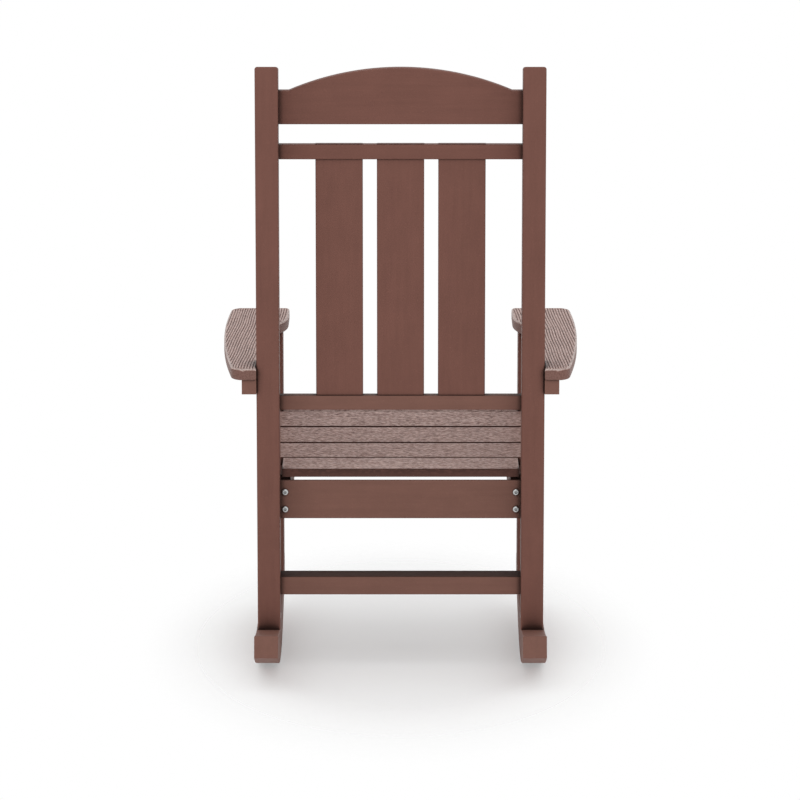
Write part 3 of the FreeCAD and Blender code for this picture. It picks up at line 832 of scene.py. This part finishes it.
class RockerFastenersOperator(bpy.types.Operator):
    """Finish the stainless screws, bolts and cross nuts"""

    bl_idname = "rocker.dress_fasteners"
    bl_label = "Dress fasteners"

    def execute(self, context):
        colour = tuple(context.scene.rocker_fasteners.steel_colour)
        steel = brushed_steel("fastener_steel", colour)
        for node, slot in SLOTS.items():
            if slot == "stainless_steel":
                dress(node, steel)
        return {"FINISHED"}


class RockerStageOperator(bpy.types.Operator):
    """Set the floor, the soft lights, the white background and the camera"""

    bl_idname = "rocker.set_stage"
    bl_label = "Set stage"

    def execute(self, context):
        stage = context.scene.rocker_stage
        build_floor(stage)
        build_lights(stage)
        build_world(context.scene, stage)
        build_camera(context.scene, stage)
        context.scene.view_settings.view_transform = "Standard"
        return {"FINISHED"}


# Sizes of the two lamps, their places and what they aim at, in metres
KEY_LAMP_SIZE, KEY_LAMP_PLACE, KEY_LAMP_AIM = (6.0, 3.0), (0.0, 4.5, 3.2), (0.0, 0.0, 0.5)
TOP_LAMP_SIZE, TOP_LAMP_PLACE, TOP_LAMP_AIM = (2.4, 2.4), (0.0, 0.4, 3.4), (0.0, 0.0, 0.4)

# Half the height of the soft step at the horizon between the light from above and from below
HORIZON = 0.03

# The camera's place beside the chair's middle and its far limit in metres, the frame's shift in
# shares of its width, and the sensor's width in millimetres
CAMERA_SIDE = 0.001
VIEW_LIMIT = 100.0
CAMERA_SHIFT = -0.12
SENSOR_WIDTH = 36.0


def build_floor(stage):
    reach = (stage.floor_reach_side, stage.floor_reach_length)
    rim = (reach[0] * FLOOR_RIM, reach[1] * FLOOR_RIM)
    turns = [math.tau * k / FLOOR_SIDES for k in range(FLOOR_SIDES)]
    vertices = [(0.0, 0.0, 0.0)]
    vertices += [(rim[0] * math.cos(turn), rim[1] * math.sin(turn), 0.0) for turn in turns]
    faces = [(0, 1 + k, 1 + (k + 1) % FLOOR_SIDES) for k in range(FLOOR_SIDES)]
    mesh = bpy.data.meshes.new("studio_floor")
    mesh.from_pydata(vertices, [], faces)
    material = studio_floor("studio_floor", tuple(stage.floor_colour), reach, stage.floor_presence)
    mesh.materials.append(material)
    floor = bpy.data.objects.new("studio_floor", mesh)
    bpy.context.scene.collection.objects.link(floor)


def area_lamp(name, power, size, place, aim):
    data = bpy.data.lights.new(name, "AREA")
    data.shape = "RECTANGLE"
    data.size, data.size_y = size
    data.energy = power
    lamp = bpy.data.objects.new(name, data)
    lamp.location = place
    lamp.rotation_euler = (Vector(aim) - Vector(place)).to_track_quat("-Z", "Y").to_euler()
    bpy.context.scene.collection.objects.link(lamp)


def build_lights(stage):
    area_lamp("key_lamp", stage.lamp_power, KEY_LAMP_SIZE, KEY_LAMP_PLACE, KEY_LAMP_AIM)
    area_lamp("top_lamp", stage.top_lamp_power, TOP_LAMP_SIZE, TOP_LAMP_PLACE, TOP_LAMP_AIM)


def build_world(scene, stage):
    """A room that looks white to the camera and lights the chair evenly, but less than it looks"""
    world = bpy.data.worlds.new("studio_room")
    world.use_nodes = True
    graph = Graph(world.node_tree)
    path = graph.add("ShaderNodeLightPath")
    camera = Value(graph, path.outputs["Is Camera Ray"])
    glossy = Value(graph, path.outputs["Is Glossy Ray"])
    through = Value(graph, path.outputs["Is Transmission Ray"])
    seen = (camera + glossy + through).limited(0.0, 1.0)
    direction = graph.add("ShaderNodeTexCoord").outputs["Generated"]
    height = graph.add("ShaderNodeSeparateXYZ", {}, {0: direction}).outputs["Z"]
    above = Value(graph, height).limited(-HORIZON, HORIZON)
    even = above * stage.sky_strength + (1.0 - above) * stage.ground_strength
    strength = seen + (1.0 - seen) * even
    room = graph.add("ShaderNodeBackground", {}, {"Color": (1, 1, 1, 1), "Strength": strength})
    graph.add("ShaderNodeOutputWorld", {}, {"Surface": room.outputs[0]})
    scene.world = world


def build_camera(scene, stage):
    data = bpy.data.cameras.new("photo_camera")
    data.lens = stage.camera_lens
    data.sensor_width = SENSOR_WIDTH
    data.shift_y = CAMERA_SHIFT
    data.clip_end = VIEW_LIMIT
    camera = bpy.data.objects.new("photo_camera", data)
    camera.location = (CAMERA_SIDE, stage.camera_distance, stage.camera_height)
    camera.rotation_euler = (math.pi / 2 - stage.camera_pitch, 0.0, math.pi)
    scene.collection.objects.link(camera)
    scene.camera = camera


class RockerPanel(bpy.types.Panel):
    """The chair's settings and steps"""

    bl_idname = "VIEW3D_PT_rocker"
    bl_label = "Rocking chair"
    bl_space_type = "VIEW_3D"
    bl_region_type = "UI"
    bl_category = "Rocker"

    def draw(self, context):
        layout = self.layout
        for group in ("rocker_lumber", "rocker_fasteners", "rocker_stage"):
            settings = getattr(context.scene, group)
            box = layout.box()
            for name in settings.bl_rna.properties.keys():
                if name not in {"rna_type", "name"}:
                    box.prop(settings, name)
        for operator in OPERATORS:
            layout.operator(operator.bl_idname)


OPERATORS = (
    RockerFrameOperator, RockerArmsOperator, RockerSeatOperator,
    RockerFastenersOperator, RockerStageOperator,
)
CLASSES = (LumberSettings, FastenerSettings, StageSettings) + OPERATORS + (RockerPanel,)


def register():
    for item in CLASSES:
        bpy.utils.register_class(item)
    bpy.types.Scene.rocker_lumber = PointerProperty(type=LumberSettings)
    bpy.types.Scene.rocker_fasteners = PointerProperty(type=FastenerSettings)
    bpy.types.Scene.rocker_stage = PointerProperty(type=StageSettings)


def unregister():
    del bpy.types.Scene.rocker_stage
    del bpy.types.Scene.rocker_fasteners
    del bpy.types.Scene.rocker_lumber
    for item in reversed(CLASSES):
        bpy.utils.unregister_class(item)


def main():
    register()
    bpy.ops.rocker.dress_frame()
    bpy.ops.rocker.build_arms()
    bpy.ops.rocker.build_seat()
    bpy.ops.rocker.dress_fasteners()
    bpy.ops.rocker.set_stage()


if __name__ == "__main__":
    main()
